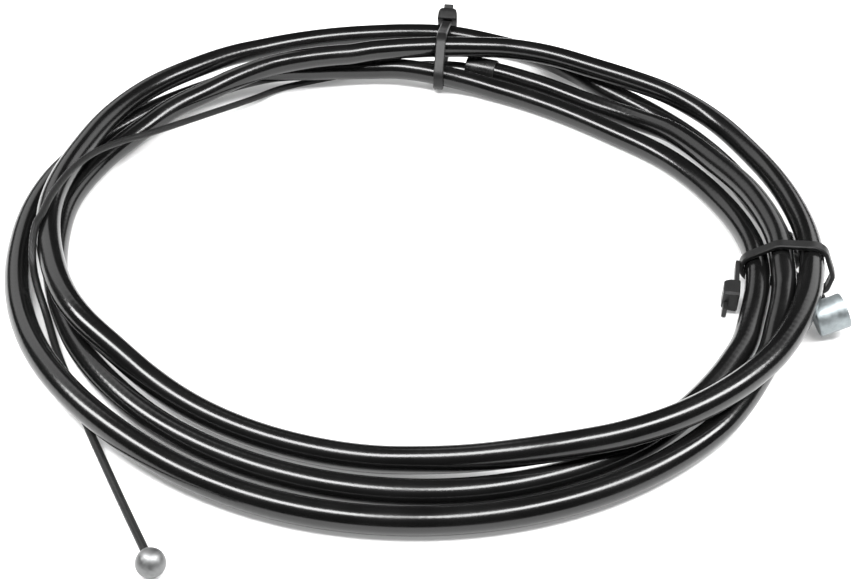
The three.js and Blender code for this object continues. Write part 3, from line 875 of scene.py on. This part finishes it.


# Cords
# The housing and the wire are the two cords of the cable.


# Floor and light
# A white table top that keeps the cable's shadow, two long tube lamps that meet above the camera, two dim
# windows behind the cable to its left and right, and a dim room.

HALF_FLOOR = 2.0
TABLE_COLOUR = (0.6, 0.6, 0.6, 1)
TABLE_GLOW = 0.24
WHITE = (1, 1, 1, 1)
ROOM_LIGHT = 0.3
ROOM_MIRRORED = 0.01

# Each lamp: place, direction of its long side, length and width in metres, power in watts
LAMPS = {
    "tube_lamp_right": ((0.21, -0.0725, 0.375), (0.915, 0.403, 0), 0.47, 0.12, 4.2),
    "tube_lamp_left": ((-0.21, -0.0725, 0.375), (0.915, -0.403, 0), 0.47, 0.12, 4.2),
    "left_window": ((-0.42, 0.5, 0.42), (1, 1, 0), 0.6, 0.45, 1.3),
    "right_window": ((0.46, 0.5, 0.36), (1, -1, 0), 0.5, 0.36, 1.2),
}

floor_mesh = bpy.data.meshes.new("table_top")
corners = [(x * HALF_FLOOR, y * HALF_FLOOR, 0) for x, y in ((-1, -1), (1, -1), (1, 1), (-1, 1))]
floor_mesh.from_pydata(corners, [], [(0, 1, 2, 3)])
floor = bpy.data.objects.new("table_top", floor_mesh)
bpy.context.scene.collection.objects.link(floor)
floor_material = bpy.data.materials.new("white_table")
floor_material.use_nodes = True
nodes, links = floor_material.node_tree.nodes, floor_material.node_tree.links
nodes.clear()

# The table glows only where it is seen or mirrored, so it is white there and keeps the cable's shadow
paths = nodes.new("ShaderNodeLightPath")
seen = nodes.new("ShaderNodeMath")
seen.operation = "MAXIMUM"
links.new(paths.outputs["Is Camera Ray"], seen.inputs[0])
links.new(paths.outputs["Is Glossy Ray"], seen.inputs[1])
lit = nodes.new("ShaderNodeBsdfDiffuse")
lit.inputs["Color"].default_value = TABLE_COLOUR
glow = nodes.new("ShaderNodeEmission")
glow.inputs["Color"].default_value = WHITE
strength = nodes.new("ShaderNodeMath")
strength.operation = "MULTIPLY"
strength.inputs[1].default_value = TABLE_GLOW
links.new(seen.outputs["Value"], strength.inputs[0])
links.new(strength.outputs["Value"], glow.inputs["Strength"])
both = nodes.new("ShaderNodeAddShader")
links.new(lit.outputs["BSDF"], both.inputs[0])
links.new(glow.outputs["Emission"], both.inputs[1])
end = nodes.new("ShaderNodeOutputMaterial")
links.new(both.outputs["Shader"], end.inputs["Surface"])
floor.data.materials.append(floor_material)


# A flat lamp that faces the middle of the table, with its long side turned to a direction
def lamp(name, place_at, long_side, length, width, watts):
    data = bpy.data.lights.new(name, "AREA")
    data.shape = "RECTANGLE"
    data.size = length
    data.size_y = width
    data.energy = watts
    made = bpy.data.objects.new(name, data)
    back = place_at.normalized()
    across = (long_side - back * long_side.dot(back)).normalized()
    other = back.cross(across)
    made.matrix_world = Matrix.Translation(place_at) @ Matrix((across, other, back)).transposed().to_4x4()
    bpy.context.scene.collection.objects.link(made)


for name, (place_at, long_side, length, width, watts) in LAMPS.items():
    lamp(name, Vector(place_at), Vector(long_side), length, width, watts)

world = bpy.data.worlds.new("room")
world.use_nodes = True
bpy.context.scene.world = world
nodes, links = world.node_tree.nodes, world.node_tree.links

# The room is white where it is seen, dim on matt surfaces and all but dark where it is mirrored
paths = nodes.new("ShaderNodeLightPath")
backdrop = nodes["Background"]
backdrop.inputs["Color"].default_value = WHITE
room_light = nodes.new("ShaderNodeMapRange")
room_light.inputs["To Min"].default_value = ROOM_LIGHT
room_light.inputs["To Max"].default_value = ROOM_MIRRORED
links.new(paths.outputs["Is Glossy Ray"], room_light.inputs["Value"])
shown = nodes.new("ShaderNodeMath")
shown.operation = "MAXIMUM"
links.new(room_light.outputs["Result"], shown.inputs[0])
links.new(paths.outputs["Is Camera Ray"], shown.inputs[1])
links.new(shown.outputs["Value"], backdrop.inputs["Strength"])

bpy.context.scene.view_settings.view_transform = "Standard"
